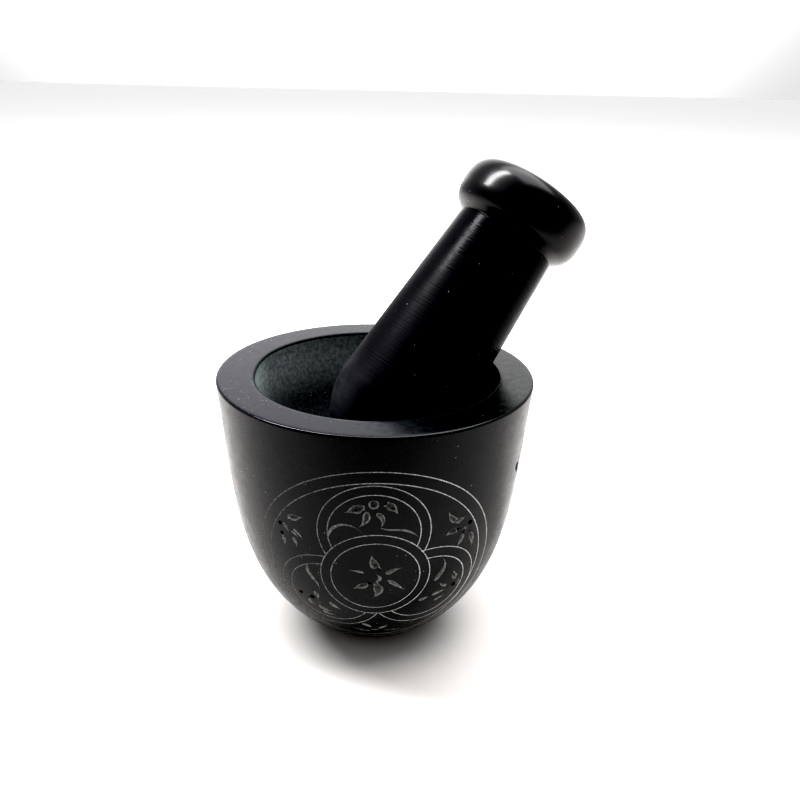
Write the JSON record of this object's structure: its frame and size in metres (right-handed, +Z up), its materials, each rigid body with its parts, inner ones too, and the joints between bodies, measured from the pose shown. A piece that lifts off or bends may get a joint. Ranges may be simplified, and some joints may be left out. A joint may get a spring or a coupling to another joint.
{
  "type": "molcajete mortar and pestle",
  "caption": "Small black stone mortar with a rounded belly, thick flat rim and engraved flower medallions, with a stout knobbed pestle leaning in its bowl.",
  "frame": {"origin": "centre of the mortar's flat base, on the surface it stands on", "axes": "+Z up along the mortar's axis, -Y towards the engraved front, +X towards the side the pestle leans to"},
  "size_m": [0.1167, 0.1, 0.154],
  "materials": {
    "mortar_stone": "satin",
    "pestle_stone": "gloss"
  },
  "bodies": {
    "mortar": {"mortar": "mortar_stone"},
    "pestle": {"pestle": "pestle_stone"}
  },
  "joints": [
    {"name": "pestle_lift", "type": "slide", "parent": "mortar", "child": "pestle", "axis": [0, 0, 1], "range_m": [0, 0.08]}
  ]
}
